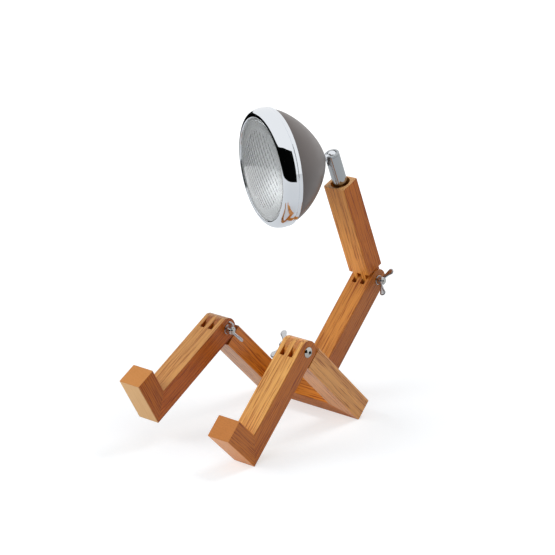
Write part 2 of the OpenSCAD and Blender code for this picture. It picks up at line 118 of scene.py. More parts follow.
# the lamps fall off with distance, so the glow that keeps the floor white grows with it
white = add(
    tree, "ShaderNodeMapRange",
    {"Value": distance.outputs["Value"], "From Min": 0.3, "From Max": 1.4, "To Min": 1.45, "To Max": 1.52})
# seen in the plating and the glass, the floor's glow is dimmer near the figure: painted shade on the floor
# round it
reflected_glow_painted_shade = add(
    tree, "ShaderNodeMapRange",
    {"Value": distance.outputs["Value"], "From Min": 0.15, "From Max": 0.9, "To Min": 0.72, "To Max": 0.85})
seen = add(tree, "ShaderNodeLightPath")
through = add(
    tree, "ShaderNodeMath", {0: seen.outputs["Is Camera Ray"], 1: seen.outputs["Is Transmission Ray"]},
    operation="MAXIMUM")
strength = add(
    tree, "ShaderNodeMix",
    {"Factor": seen.outputs["Is Camera Ray"], "A": reflected_glow_painted_shade.outputs[0], "B": white.outputs[0]})
glow = add(tree, "ShaderNodeEmission", {"Color": (1, 1, 1, 1), "Strength": strength.outputs[0]})
shown = add(
    tree, "ShaderNodeMath", {0: through.outputs[0], 1: seen.outputs["Is Glossy Ray"]}, operation="MAXIMUM")
glowing = add(
    tree, "ShaderNodeMapRange",
    {"Value": distance.outputs["Value"], "From Min": 0.15, "From Max": 0.7, "To Min": 0.40, "To Max": 0.70})
share = add(tree, "ShaderNodeMath", {0: shown.outputs[0], 1: glowing.outputs[0]}, operation="MULTIPLY")
both = add(tree, "ShaderNodeMixShader", {0: share.outputs[0], 1: shader.outputs[0], 2: glow.outputs[0]})
tree.links.new(both.outputs[0], tree.nodes["Material Output"].inputs["Surface"])
floor.data.materials.append(floor_paint)

world = bpy.data.worlds.new("studio")
bpy.context.scene.world = world
world.use_nodes = True
tree = world.node_tree
tree.nodes.clear()
seen = add(tree, "ShaderNodeLightPath")
mirrored = add(
    tree, "ShaderNodeMath", {0: seen.outputs["Is Camera Ray"], 1: seen.outputs["Is Glossy Ray"]},
    operation="MAXIMUM")
shown = add(
    tree, "ShaderNodeMath", {0: mirrored.outputs[0], 1: seen.outputs["Is Transmission Ray"]},
    operation="MAXIMUM")
strength = add(tree, "ShaderNodeMix", {"Factor": shown.outputs[0], "A": 0.36, "B": 1.0})
sky = add(tree, "ShaderNodeBackground", {"Color": (1, 1, 1, 1), "Strength": strength.outputs[0]})
add(tree, "ShaderNodeOutputWorld", {"Surface": sky.outputs[0]})


def soft_lamp(name, place, target, size, power):
    """A square area lamp at a place, aimed at a target."""
    data = bpy.data.lights.new(name, "AREA")
    data.size, data.energy = size, power
    lamp = bpy.data.objects.new(name, data)
    away = (np.array(place) - np.array(target)) / np.linalg.norm(np.array(place) - np.array(target))
    right = np.cross((0, 0, 1), away)
    right /= np.linalg.norm(right)
    up = np.cross(away, right)
    lamp.matrix_world = Matrix([(right[k], up[k], away[k], place[k]) for k in range(3)] + [(0, 0, 0, 1)])
    bpy.context.scene.collection.objects.link(lamp)
    lamp.visible_glossy = False


soft_lamp("key_lamp", (-1.6, -2.1, 1.6), (0, 0, 0.12), 2.0, 55)
soft_lamp("top_lamp", (0.25, 0.7, 1.6), (0, 0, 0.1), 0.6, 9)


def dark_wrap(name, radius, angles, tops):
    """A band of a cylinder about the figure, from the floor to a height given at some compass angles."""
    steps = 60
    angle = np.linspace(angles[0], angles[-1], steps + 1)
    top = np.interp(angle, angles, tops)
    angle = np.radians(angle)
    rise = np.array([[0.0], [1.0]])
    points = np.stack([radius * np.cos(angle) + 0 * rise, radius * np.sin(angle) + 0 * rise, top * rise], -1)
    k = np.arange(steps)
    mesh = bpy.data.meshes.new(name)
    mesh.from_pydata(
        points.reshape(-1, 3).tolist(), [], np.stack([k, k + 1, k + steps + 2, k + steps + 1], -1).tolist())
    made = bpy.data.objects.new(name, mesh)
    bpy.context.scene.collection.objects.link(made)
    felt, tree, shader = material("black_felt", Base_Color=linear("#060606"), Roughness=1.0)
    shader.inputs["Specular IOR Level"].default_value = 0.0
    # glass looks through it, so that only the plating shows it
    clear = add(tree, "ShaderNodeBsdfTransparent")
    seen = add(tree, "ShaderNodeLightPath")
    both = add(
        tree, "ShaderNodeMixShader",
        {0: seen.outputs["Is Transmission Ray"], 1: shader.outputs[0], 2: clear.outputs[0]})
    tree.links.new(both.outputs[0], tree.nodes["Material Output"].inputs["Surface"])
    mesh.materials.append(felt)
    for ray in ("camera", "diffuse", "shadow", "transmission"):
        setattr(made, "visible_" + ray, False)


dark_wrap("dark_wrap", 1.0, (-212, -150, -135, -120, -100, -80, -60, -40, -20, -4),
          (0.46, 0.48, 0.48, 0.57, 0.815, 1.065, 1.25, 1.32, 1.215, 1.09))

# Places on the figure
# The same local frames as the solids have: knees, waist, neck tube and lamp head.


def turn_x(angle):
    """Turn about X by degrees, as a 3 by 3 matrix."""
    c, s = math.cos(math.radians(angle)), math.sin(math.radians(angle))
    return np.array([[1, 0, 0], [0, c, -s], [0, s, c]])


def turn_y(angle):
    """Turn about Y by degrees."""
    c, s = math.cos(math.radians(angle)), math.sin(math.radians(angle))
    return np.array([[c, 0, s], [0, 1, 0], [-s, 0, c]])


def turn_z(angle):
    """Turn about Z by degrees."""
    c, s = math.cos(math.radians(angle)), math.sin(math.radians(angle))
    return np.array([[c, -s, 0], [s, c, 0], [0, 0, 1]])


def hinge(name):
    """Position of a joint in millimetres."""
    found = [joint for joint in frame["joints"] if joint["name"] == name][0]
    return np.array(found["pos_m"]) / MM


bar_w = 30
seat_angle, left_drop, right_drop, upper_angle = 45.1, 44.642, 29.4, 67.8
left_knee = (turn_x(left_drop - 90), hinge("left_knee"))
right_knee = (turn_x(right_drop - 90), hinge("right_knee"))
waist = (turn_x(90 - upper_angle), hinge("waist"))
neck_twist, head_lean = 25.5, 73.5
neck = (waist[0] @ turn_z(-neck_twist), hinge("neck_turn"))
head = (neck[0] @ turn_x(head_lean), hinge("head_tilt"))
knee_to_middle = 60
seat = (turn_x(-seat_angle), left_knee[1] - np.array([knee_to_middle, 0, 0]))


def at(place, points):
    """Points in millimetres in a local frame, as metres in the part's frame."""
    return (np.asarray(points) @ place[0].T + place[1]) * MM


# Wooden bars
# Planed oak bars, rubbed with hardening oil: golden faces with fine dark lines along the grain,
# redder edges, and end grain on the toes. The colours of faces, edges and ends are set bar by bar,
# partly as each board's tone and partly as painted light and shade: darker where a face lies in
# shade here, paler where the light falls full.
def dress(piece, finish):
    """Gives a solid a material in place of its own."""
    slots = nodes[piece].data.materials
    slots.clear()
    slots.append(finish)


board_step = 37.0
line_colour = (0.49, 0.30, 0.18, 1)


def oak(name, place, grain, face, edge, end, calm, film, heart, seed):
    """Oak whose rings run round a line along the bar, heart millimetres off its middle. The three
    colours are those of the broad faces, of the side edges and of the sawn ends, each holding painted
    light and shade as well as the wood's tone; calm is how far the lines fade on the broad faces,
    where the saw ran along the rings, film the weight of the oil, and seed times board_step how far
    the pattern is moved along the bar."""
    made, tree, shader = material(
        name, Roughness=0.45, IOR=1.48, Coat_Weight=film, Coat_Roughness=0.22, Coat_IOR=1.5)
    shader.inputs["Specular IOR Level"].default_value = 0.25
    turn = Matrix((place[0] @ grain).tolist()).to_euler("XYZ")
    spot = (place[1] + place[0] @ grain @ np.array([heart[0], heart[1], seed * board_step])) * MM
    along = place[0] @ grain @ np.array([0, 0, 1.0])
    where = add(tree, "ShaderNodeTexCoord")
    board = add(
        tree, "ShaderNodeMapping",
        {"Vector": where.outputs["Object"], "Location": tuple(spot), "Rotation": tuple(turn)},
        vector_type="TEXTURE")
    long_way = add(
        tree, "ShaderNodeVectorMath", {0: board.outputs[0], 1: (1, 1, 0.045)}, operation="MULTIPLY")
    very_long = add(
        tree, "ShaderNodeVectorMath", {0: board.outputs[0], 1: (1, 1, 0.032)}, operation="MULTIPLY")
    # growth rings 3.3 mm apart, each with one sharp dark side
    rings = add(
        tree, "ShaderNodeTexWave",
        {"Vector": long_way.outputs[0], "Scale": 95.0, "Distortion": 5.0, "Detail": 2.0,
         "Detail Scale": 1.3, "Detail Roughness": 0.6},
        wave_type="RINGS", rings_direction="Z", wave_profile="SAW")
    ring_line = add(
        tree, "ShaderNodeMapRange",
        {"Value": rings.outputs["Fac"], "From Min": 0.6, "From Max": 1.0, "To Min": 0.0, "To Max": 0.50})
    # broad streaks about 12 mm wide
    broad = add(
        tree, "ShaderNodeTexNoise",
        {"Vector": long_way.outputs[0], "Scale": 80.0, "Detail": 2.0, "Roughness": 0.5})
    broad_part = add(
        tree, "ShaderNodeMapRange",
        {"Value": broad.outputs[0], "From Min": 0.3, "From Max": 0.7, "To Min": -0.10, "To Max": 0.20})
    # open pores, from a noise with cells 1.2 mm across the grain and 38 mm along it
    pores = add(
        tree, "ShaderNodeTexNoise",
        {"Vector": very_long.outputs[0], "Scale": 820.0, "Detail": 2.0, "Roughness": 0.6})
    pore_mask = add(
        tree, "ShaderNodeMapRange",
        {"Value": pores.outputs[0], "From Min": 0.54, "From Max": 0.64, "To Min": 0.0, "To Max": 1.0})
    pore_part = add(tree, "ShaderNodeMath", {0: pore_mask.outputs[0], 1: 0.85}, operation="MULTIPLY")
    lines = add(tree, "ShaderNodeMath", {0: ring_line.outputs[0], 1: broad_part.outputs[0]}, operation="ADD")
    dark_part = add(
        tree, "ShaderNodeMath", {0: lines.outputs[0], 1: pore_part.outputs[0]}, operation="ADD",
        use_clamp=True)
    facing = add(
        tree, "ShaderNodeVectorMath", {0: where.outputs["Normal"], 1: (1, 0, 0)}, operation="DOT_PRODUCT")
    sideways = add(tree, "ShaderNodeMath", {0: facing.outputs["Value"]}, operation="ABSOLUTE")
    edge_part = add(
        tree, "ShaderNodeMapRange", {"Value": sideways.outputs[0], "From Min": 0.5, "From Max": 0.9})
    endways = add(
        tree, "ShaderNodeVectorMath", {0: where.outputs["Normal"], 1: tuple(along)}, operation="DOT_PRODUCT")
    end_on = add(tree, "ShaderNodeMath", {0: endways.outputs["Value"]}, operation="ABSOLUTE")
    end_part = add(
        tree, "ShaderNodeMapRange", {"Value": end_on.outputs[0], "From Min": 0.8, "From Max": 0.95})
    # painted light and shade: broad faces, side edges and ends each take their own colour, set from how light
    # falls on them here as well as from the wood's tone
    faces_and_edges_painted_shade = add(
        tree, "ShaderNodeMix", {"Factor": edge_part.outputs[0], "A": linear(face), "B": linear(edge)},
        data_type="RGBA")
    tone_with_painted_light = add(
        tree, "ShaderNodeMix",
        {"Factor": end_part.outputs[0], "A": faces_and_edges_painted_shade.outputs["Result"], "B": linear(end)}, data_type="RGBA")
    # the lines are weaker on the sawn ends
    on_face = add(
        tree, "ShaderNodeMapRange", {"Value": edge_part.outputs[0], "To Min": 1.0 - calm, "To Max": 1.0})
    weak = add(tree, "ShaderNodeMapRange", {"Value": end_part.outputs[0], "To Min": 1.0, "To Max": 0.85})
    shown = add(tree, "ShaderNodeMath", {0: on_face.outputs[0], 1: weak.outputs[0]}, operation="MULTIPLY")
    depth = add(tree, "ShaderNodeMath", {0: dark_part.outputs[0], 1: shown.outputs[0]}, operation="MULTIPLY")
    colour = add(
        tree, "ShaderNodeMix",
        {"Factor": depth.outputs[0], "A": tone_with_painted_light.outputs["Result"], "B": line_colour},
        data_type="RGBA", blend_type="MULTIPLY")
    tree.links.new(colour.outputs["Result"], shader.inputs["Base Color"])
    rough = add(tree, "ShaderNodeMapRange", {"Value": dark_part.outputs[0], "To Min": 0.40, "To Max": 0.56})
    tree.links.new(rough.outputs[0], shader.inputs["Roughness"])
    # planed edges are rubbed round, 0.8 mm
    arris = add(tree, "ShaderNodeBevel", {"Radius": 0.8 * MM}, samples=4)
    relief = add(
        tree, "ShaderNodeBump",
        {"Height": pore_mask.outputs[0], "Strength": 0.25, "Distance": 0.1 * MM, "Normal": arris.outputs[0]},
        invert=True)
    tree.links.new(relief.outputs[0], shader.inputs["Normal"])
    return made


along_x = turn_y(90)
along_y = turn_x(90)
upright = np.eye(3)
# the face, edge and end colours of each bar hold painted light and shade besides the board's tone
boards = {
    "seat_crossbar": (seat, along_x, "#E28C30", "#B86C28", "#B06020", 0.0, 0.1, (14, 30), 1),
    "left_thigh": (seat, along_y, "#F4A44C", "#F4AC5A", "#C88038", 0.0, 0.7, (52, 8), 2),
    "right_thigh": (seat, along_y, "#D89448", "#E88C28", "#A86020", 0.0, 0.6, (24, 40), 3),
    "lower_torso": (seat, upright, "#D88E3E", "#C27028", "#B87030", 0.0, 0.3, (30, 34), 4),
    "left_shin": (left_knee, upright, "#E8AC5C", "#CE7210", "#B06820", 0.0, 0.45, (36, 46), 5),
    "left_foot": (left_knee, along_y, "#F09B45", "#CE7414", "#C47A33", 0.7, 0.45, (20, 44), 6),
    "right_shin": (right_knee, upright, "#DA9C54", "#CC6C10", "#B06820", 0.0, 0.45, (44, 38), 7),
    "right_foot": (right_knee, along_y, "#E6B270", "#C26A14", "#CE873D", 0.85, 0.45, (38, 24), 8),
    "upper_torso": (waist, upright, "#F2A448", "#CE7005", "#FFC480", 0.0, 0.3, (28, 52), 9),
}
for piece, (place, *cut) in boards.items():
    dress(piece, oak("oiled_oak_" + piece, place, *cut))

# Dowels
# Plain beech pegs glued in the corners, out of sight.
beech, tree, shader = material("beech", Roughness=0.6)
where = add(tree, "ShaderNodeTexCoord")
fleck = add(tree, "ShaderNodeTexNoise", {"Vector": where.outputs["Object"], "Scale": 900.0, "Detail": 2.0})
tint = add(
    tree, "ShaderNodeMix", {"Factor": fleck.outputs[0], "A": linear("#D9B98C"), "B": linear("#B98E5E")},
    data_type="RGBA")
tree.links.new(tint.outputs["Result"], shader.inputs["Base Color"])
for piece in ("seat_dowels", "torso_dowels", "left_foot_dowels", "right_foot_dowels"):
    dress(piece, beech)


# Bolts
# Furniture bolts with a domed head and a hexagon socket, cut thread at the far end; their bright
# nickel is a little warmer and darker than the chrome of the lamp head.
def surface(name, points, place, finish, node, body, wrap=True, smooth_angle=35):
    """A mesh on a grid of points in millimetres, rows by columns; each row is closed into a loop, and rows
    that end in one point close the piece. With wrap, the last row joins the first."""
    points = np.asarray(points, float)
    rows, columns = points.shape[:2]
    at_points = at(place, points.reshape(-1, 3))
    step = np.arange(rows if wrap else rows - 1)
    r, c = np.meshgrid(step, np.arange(columns), indexing="ij")
    r2, c2 = (r + 1) % rows, (c + 1) % columns
    faces = np.stack(
        [r * columns + c, r * columns + c2, r2 * columns + c2, r2 * columns + c], -1).reshape(-1, 4)
    mesh = bpy.data.meshes.new(name)
    mesh.from_pydata(at_points.tolist(), [], faces.tolist())
    finish_mesh(mesh, smooth_angle)
    made = bpy.data.objects.new(name, mesh)
    bpy.context.scene.collection.objects.link(made)
    mesh.materials.append(finish)
    if node:
        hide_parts(node)
    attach(made, body)


def finish_mesh(mesh, smooth_angle):
    """Merges doubles, turns the faces outwards and smooths every edge below an angle."""
    work = bmesh.new()
    work.from_mesh(mesh)
    bmesh.ops.remove_doubles(work, verts=work.verts, dist=1e-7)
    bmesh.ops.dissolve_degenerate(work, edges=work.edges, dist=1e-8)
    bmesh.ops.recalc_face_normals(work, faces=work.faces)
    work.to_mesh(mesh)
    work.free()
    mesh.polygons.foreach_set("use_smooth", np.ones(len(mesh.polygons), bool))
    mesh.set_sharp_from_angle(angle=math.radians(smooth_angle))
    mesh.update()


def revolve(profile, columns):
    """Grid of points: each (radius, height) of the profile turned about Z."""
    profile = np.asarray(profile, float)
    angle = np.arange(columns) * 2 * np.pi / columns
    radius, height = profile[:, :1], profile[:, 1:]
    return np.stack([radius * np.cos(angle), radius * np.sin(angle), height + 0 * angle], -1)


def mottle(tree, shader, scale, detail, low, high, start=0.0, end=1.0):
    """Lets a noise vary the roughness from low, where the noise is start, to high, where it is end."""
    where = add(tree, "ShaderNodeTexCoord")
    noise = add(
        tree, "ShaderNodeTexNoise", {"Vector": where.outputs["Object"], "Scale": scale, "Detail": detail})
    level = add(
        tree, "ShaderNodeMapRange",
        {"Value": noise.outputs[0], "From Min": start, "From Max": end, "To Min": low, "To Max": high})
    tree.links.new(level.outputs[0], shader.inputs["Roughness"])
    return noise


chrome, tree, shader = material("chrome_plating", Base_Color=linear("#E4E8ED"), Metallic=1.0, Roughness=0.03)
# a faint haze of handling varies the polish
mottle(tree, shader, 70.0, 4.0, 0.015, 0.05, 0.35, 0.75)

bolt_plating, tree, shader = material(
    "bright_nickel_plating", Base_Color=linear("#BCBBB6"), Metallic=1.0, Roughness=0.05)
mottle(tree, shader, 250.0, 3.0, 0.03, 0.10, 0.3, 0.7)

bolt_r, head_r, head_h, rim_h = 3.0, 6.2, 3.4, 0.8
socket_half, socket_mouth, socket_depth = 2.0, 2.75, 2.2
thread_pitch, thread_cut, tip_bevel, past_nut = 0.9, 0.32, 0.9, 1.2
half_w = bar_w / 2
washer_t, hub_h = 1.2, 7.3
bolt_len = bar_w + washer_t + hub_h + past_nut


def bolt_grid():
    """Rows of a bolt with the underside of its head at height 0: threaded end, shank, flange, dome as an arc,
    and a socket whose radius follows a hexagon."""
    columns = 96
    angle = np.arange(columns) * 2 * np.pi / columns
    hexagon = socket_half / np.cos((angle + np.pi / 6) % (np.pi / 3) - np.pi / 6)
    thread = [
        (bolt_r - 0.05 - thread_cut * (k % 2), -bolt_len + tip_bevel + thread_pitch / 2 * k)
        for k in range(10)]
    low = [(0, -bolt_len), (bolt_r - tip_bevel, -bolt_len)] + thread + [
        (bolt_r, -bolt_len + 6), (bolt_r, 0), (head_r - 0.25, 0), (head_r, 0.25), (head_r, rim_h - 0.15)]
    t = np.linspace(0.08, 1, 10)
    dome_r = (head_r ** 2 + (head_h - rim_h) ** 2) / (2 * (head_h - rim_h))
    radius = head_r - (head_r - socket_mouth) * t
    dome = np.stack([radius, head_h - dome_r + np.sqrt(dome_r ** 2 - radius ** 2)], -1)
    rows = [revolve(low, columns), revolve(dome, columns)]
    top = dome[-1, 1]
    for grow, height in (
        (1.12, top - 0.02), (1.0, top - 0.28), (1.0, head_h - socket_depth),
        (0.0, head_h - socket_depth - 0.25)):
        ring = [grow * hexagon * np.cos(angle), grow * hexagon * np.sin(angle), height + 0 * angle]
        rows.append(np.stack(ring, -1)[None])
    return np.concatenate(rows)


def turned(place, turn, shift):
    """A local frame turned and moved within another one."""
    return (place[0] @ turn, place[0] @ np.array(shift, float) + place[1])


outer_left, outer_right = turn_y(90), turn_y(-90)
bolts = {
    "left_knee_bolt": (turned(left_knee, outer_left, (half_w, 0, 0)), "left_leg"),
    "right_knee_bolt": (turned(right_knee, outer_right, (-half_w, 0, 0)), "right_leg"),
    "waist_bolt": (turned(waist, outer_right, (-half_w, 0, 0)), "seat_frame"),
}
for piece, (place, body) in bolts.items():
    surface(piece + "_plated", bolt_grid(), place, bolt_plating, piece, body, wrap=False)

# Washers
# Zinc-plated steel, under the wing nuts.
zinc, tree, shader = material("zinc_plated_steel", Base_Color=linear("#C9CACC"), Metallic=1.0, Roughness=0.24)
# the dip leaves it slightly cloudy and pebbled, in cells of 1.25 mm
grit = mottle(tree, shader, 800.0, 3.0, 0.18, 0.34, 0.3, 0.7)
pebble = add(tree, "ShaderNodeBump", {"Height": grit.outputs[0], "Strength": 0.12, "Distance": 0.05 * MM})
tree.links.new(pebble.outputs[0], shader.inputs["Normal"])

# each nut's place on its bar and the turn it was left at, in degrees
nuts = {
    "left_knee": (turned(left_knee, outer_right, (-half_w, 0, 0)), -5),
    "right_knee": (turned(right_knee, outer_left, (half_w, 0, 0)), -86),
    "waist": (turned(waist, outer_left, (half_w, 0, 0)), -56),
}
washer_r, hole_r, soft = 5.7, 3.05, 0.2
washer_rows = [
    (hole_r, 0.15), (hole_r + 0.15, 0), (washer_r - soft, 0), (washer_r, soft), (washer_r, washer_t - soft),
    (washer_r - soft, washer_t), (hole_r + 0.15, washer_t), (hole_r, washer_t - 0.15)]
for side, (place, turn) in nuts.items():
    body = bolts[side + "_bolt"][1]
    surface(
        side + "_washer_plate", revolve(washer_rows, 64), place, zinc, side + "_washer", body)


# Wing nuts
# Hot-pressed steel, zinc-plated: a round hub and two wings that lean out and end in round lobes.
wing_root, wing_out, wing_base, wing_rise, wing_bend, lobe_r = 3.6, 9.6, 5.0, 6.5, 1.15, 3.9
half_high, pinch, flare, half_thick, taper = 2.1, 0.6, 2.4, 1.45, 0.3


def wing_grid(side):
    """A rounded section carried out from the hub along a path that rises with a power of the way out,
    then straight on to the end of the lobe. Half its height first shrinks evenly and then grows with the
    square of the way, half its thickness tapers evenly, and over the lobe both close with the cosine."""
    along = np.linspace(0, 1, 22)
    reach = wing_root + wing_out * along
    lift = wing_base + wing_rise * along ** wing_bend
    wide = half_high - pinch * along + flare * along ** 2
    thick = half_thick - taper * along
    tip = np.linspace(0, np.pi / 2, 10)[1:]
    slope = math.atan2(wing_rise * wing_bend, wing_out)
    reach = np.concatenate([reach, reach[-1] + lobe_r * np.sin(tip) * math.cos(slope)])
    lift = np.concatenate([lift, lift[-1] + lobe_r * np.sin(tip) * math.sin(slope)])
    wide = np.concatenate([wide, wide[-1] * np.cos(tip)])
    thick = np.concatenate([thick, thick[-1] * np.maximum(np.cos(tip), 0) ** 0.6])
    bend = np.gradient(lift) / np.maximum(np.gradient(reach), 1e-3)
    up_r, up_z = -bend / np.hypot(bend, 1), 1 / np.hypot(bend, 1)
    columns = 28
    around = np.arange(columns) * 2 * np.pi / columns
    ring_up = np.sign(np.sin(around)) * np.abs(np.sin(around)) ** 0.8
    ring_out = np.sign(np.cos(around)) * np.abs(np.cos(around)) ** 0.6
    grid = np.stack([
        side * (reach[:, None] + (up_r * wide)[:, None] * ring_up),
        side * thick[:, None] * ring_out,
        lift[:, None] + (up_z * wide)[:, None] * ring_up,
    ], -1)
    start = grid[:1].mean(axis=1, keepdims=True) + 0 * grid[:1]
    return np.concatenate([start, grid])


hub_rows = [
    (hole_r, 0.3), (3.3, 0), (4.8, 0), (5.1, 0.3), (5.05, 2.0), (4.85, 4.6), (4.6, 6.7), (4.3, 7.2),
    (3.5, hub_h), (hole_r, hub_h - 0.3)]
for side, (place, turn) in nuts.items():
    on_washer = turned(place, turn_z(turn), (0, 0, washer_t))
    surface(
        side + "_wing_nut_hub", revolve(hub_rows, 64), on_washer, zinc, side + "_wing_nut",
        side + "_nut")
    for k in (1, -1):
        surface(
            side + "_wing_" + ("a" if k > 0 else "b"), wing_grid(k), on_washer, zinc, None,
            side + "_nut", wrap=False, smooth_angle=60)

# Neck screw
# Steel screw inside the tube, in the wood; the tube turns on it. The nut that holds the ball's
# stem inside the bowl has the same zinc plating.
for piece in ("neck_screw", "stem_nut"):
    dress(piece, zinc)

# Neck tube
# Nickel-plated brass tube, rim rolled in over the ball, with a slot for the stem and a flute down
# its front where the strip it was rolled from meets.
ball_h, tube_r, tube_in, mouth_r, tube_sink = 36.3, 8.6, 6.9, 5.6, 24
tube_top = ball_h + 4.2
slot_half, slot_depth, flute_half, flute_cut, floor_hole, floor_t = 3.4, 9, 1.2, 0.35, 2.6, 3
flute_turn, flute_low, flute_high = 21, -15, 26.5


def tube_grid():
    """Rows up the outside, over the rim and down the inside; the top of each column drops into the
    slot, a U whose bottom is a half circle."""
    half, low = slot_half, ball_h - slot_depth
    front = -np.pi / 2
    edge = math.asin(half / tube_r)
    inside = np.linspace(-edge * 0.999, edge * 0.999, 21)
    outside = np.linspace(edge * 1.001, 2 * np.pi - edge * 1.001, 140)
    angle = np.concatenate([inside, outside])
    in_slot = np.arange(len(angle)) < len(inside)
    across = tube_r * np.sin(angle)
    bottom = low + half - np.sqrt(np.maximum(half ** 2 - across ** 2, 0))
    top = np.where(in_slot, bottom, tube_top)
    roll = np.where(in_slot, 0.0, 1.0)
    mark = np.radians(neck_twist + flute_turn)
    gap = (angle - mark + np.pi) % (2 * np.pi) - np.pi
    flute = np.where(np.abs(gap) < flute_half / tube_r, flute_cut, 0.0)
    rows = []

    def row(radius, height):
        ring = [radius * np.cos(front + angle), radius * np.sin(front + angle), height + 0 * angle]
        rows.append(np.stack(ring, -1))

    row(floor_hole + 0 * angle, -tube_sink + 0 * angle)
    row(tube_r + 0 * angle, -tube_sink + 0 * angle)
    row(tube_r + 0 * angle, flute_low + 0 * angle)
    row(tube_r - flute, flute_low + 0.2 + 0 * angle)
    row(tube_r - flute, flute_high + 0 * angle)
    row(tube_r - np.where(in_slot, 0, flute), np.minimum(top - 0.05, tube_top - 6.0))
    for drop, cut in (
        (5.8, 0.0), (2.7, 0.0), (2.5, 0.35), (2.0, 0.35), (1.8, 0.0), (0.9, 0.0), (0.45, 0.12), (0.14, 0.45),
        (0.0, 1.0)):
        row(tube_r - cut * roll, top - drop * roll - 0.04 * (1 - roll) * (drop > 0))
    for drop, radius in (
        (0.0, mouth_r + 0.2), (0.2, mouth_r), (1.2, mouth_r), (2.0, tube_in - 0.3), (2.6, tube_in)):
        row(np.where(in_slot, tube_in, radius), top - drop * roll)
    row(tube_in + 0 * angle, np.minimum(top - 0.1, 26.0))
    row(tube_in + 0 * angle, floor_t - tube_sink + 0 * angle)
    row(floor_hole + 0 * angle, floor_t - tube_sink + 0 * angle)
    return np.stack(rows)


nickel, tree, shader = material("nickel_plating", Base_Color=linear("#A9ADB0"), Metallic=1.0, Roughness=0.10)
# nickel is a little darker and softer than chrome, with faint marks from drawing the tube
mottle(tree, shader, 300.0, 3.0, 0.07, 0.15, 0.3, 0.7)
surface("neck_tube_plated", tube_grid(), neck, nickel, "neck_tube", "neck", smooth_angle=30)

# Ball seat
# A nylon cup under the ball.
nylon, tree, shader = material("black_nylon", Base_Color=linear("#1B1B1C"), Roughness=0.5)
where = add(tree, "ShaderNodeTexCoord")
grain = add(tree, "ShaderNodeTexNoise", {"Vector": where.outputs["Object"], "Scale": 2500.0})
tooth = add(tree, "ShaderNodeBump", {"Height": grain.outputs[0], "Strength": 0.1, "Distance": 0.05 * MM})
tree.links.new(tooth.outputs[0], shader.inputs["Normal"])
dress("ball_seat", nylon)

# Ball and stem
# Turned steel, chromed: a ball, a neck and a small shoulder against the bowl.
ball_r, stem_r, stem_len, shoulder_r, shoulder_z, stem_past = 6.2, 3.0, 11.0, 5.2, 10.0, 8.5
t = np.linspace(np.pi, math.asin(stem_r / ball_r), 28)
stem_rows = np.concatenate([
    np.stack([ball_r * np.sin(t), ball_r * np.cos(t)], -1),
    [(stem_r + 0.05, 6.0), (stem_r, 6.4), (stem_r, shoulder_z - 0.4), (stem_r + 0.3, shoulder_z - 0.05),
     (shoulder_r - 0.3, shoulder_z), (shoulder_r, shoulder_z + 0.3), (shoulder_r, stem_len),
     (stem_r, stem_len), (stem_r, stem_len + stem_past - 0.3), (stem_r - 0.4, stem_len + stem_past),
     (0, stem_len + stem_past)]])
surface(
    "ball_stem_chromed", revolve(stem_rows, 72), head, chrome, "ball_stem", "lamp_head", wrap=False,
    smooth_angle=40)

# Bowl
# Spun steel, painted a warm satin grey; its curve is blunt at the back and steep at the rim.
bowl_depth, bowl_r, bowl_wall, bowl_power = 57.0, 65.6, 1.2, 1.45
bezel_z = stem_len + bowl_depth
collar_r, collar_in, collar_top = 64.5, 63.0, 12.5
stem_hole, flat_r, boss_r, boss_t, bowl_rings = 3.0, 5.6, 7.5, 2.7, 64
bowl_paint, tree, shader = material("satin_grey_stove_enamel", Base_Color=linear("#706865"), Roughness=0.36)
where = add(tree, "ShaderNodeTexCoord")
# the sprayed coat ripples at about 1.5 mm
ripple = add(tree, "ShaderNodeTexNoise", {"Vector": where.outputs["Object"], "Scale": 650.0, "Detail": 1.5})
peel = add(tree, "ShaderNodeBump", {"Height": ripple.outputs[0], "Strength": 0.06, "Distance": 0.1 * MM})
tree.links.new(peel.outputs[0], shader.inputs["Normal"])
mottle(tree, shader, 45.0, 3.0, 0.32, 0.42, 0.3, 0.7)


def bowl_curve(start, depth, radius, widest):
    """Rows of the bowl's curve, no further out than widest. At each depth t the radius r is such that r
    over radius and 1 less t over depth, both raised to the power bowl_power, add up to 1."""
    t = depth * (1 - np.cos(np.linspace(0, np.pi / 2, bowl_rings)))
    r = radius * (1 - (1 - t / depth) ** bowl_power) ** (1 / bowl_power)
    return np.stack([np.minimum(r, widest), start + t], -1)


outside = bowl_curve(stem_len, bowl_depth, bowl_r, bowl_r)
inside = bowl_curve(stem_len + bowl_wall, bowl_depth - bowl_wall, bowl_r - bowl_wall, collar_in)[::-1]
outside = outside[outside[:, 0] > flat_r]
inside = inside[inside[:, 0] > boss_r]
bowl_rows = np.concatenate([
    [(stem_hole, stem_len), (flat_r - 0.3, stem_len), (flat_r, stem_len + 0.1)], outside,
    [(collar_r, bezel_z), (collar_r, bezel_z + collar_top), (collar_in, bezel_z + collar_top)], inside,
    [(boss_r, stem_len + boss_t), (stem_hole, stem_len + boss_t)]])
surface(
    "lamp_bowl_painted", revolve(bowl_rows, 160), head, bowl_paint, "lamp_bowl", "lamp_head")

# Bezel ring
# Pressed brass, chromed: a bulged face, a fine groove, and a flat flange against the bowl.
bezel_r, bezel_depth = 68.5, 21.0
bezel_points = np.array([
    (0.858, 0.96), (0.864, 0.99), (0.876, 1), (0.905, 0.985), (0.934, 0.935), (0.961, 0.85), (0.981, 0.727),
    (0.994, 0.56), (1, 0.405), (1, 0.33), (0.996, 0.27), (0.987, 0.245), (0.987, 0.226), (0.993, 0.207),
    (0.993, 0.05), (0.984, 0.014), (0.97, 0), (0.943, 0), (0.943, 0.067), (0.963, 0.085), (0.974, 0.15),
    (0.98, 0.4), (0.973, 0.56), (0.96, 0.72), (0.942, 0.833), (0.924, 0.933), (0.858, 0.933),
]) * (bezel_r, bezel_depth)


